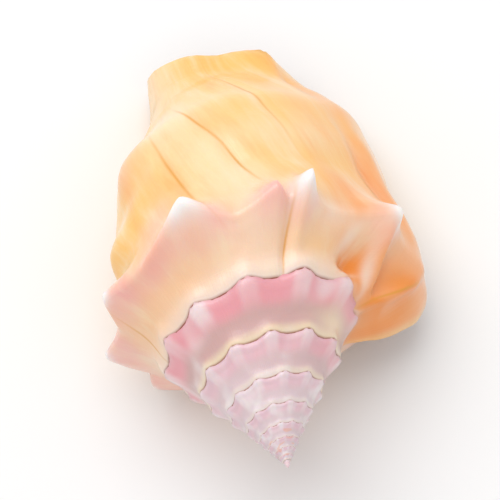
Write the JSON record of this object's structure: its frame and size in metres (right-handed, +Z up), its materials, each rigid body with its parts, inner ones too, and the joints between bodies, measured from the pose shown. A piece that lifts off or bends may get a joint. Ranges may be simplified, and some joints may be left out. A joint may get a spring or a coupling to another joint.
{
  "type": "conch shell",
  "caption": "Hollow coiled sea shell with a knobbed shoulder, a pointed spire, a flared thin lip and a short open canal.",
  "frame": {"origin": "bottom centre of the shell's bounding box, resting mouth down", "axes": "+Z up; the coiling axis lies in the YZ plane, with the pointed spire towards -Y and the canal towards +Y; the lip is on the +X side"},
  "size_m": [0.0712, 0.0986, 0.0581],
  "materials": {
    "shell": "polished satin"
  },
  "bodies": {
    "root": {"shell": "shell"}
  },
  "joints": []
}
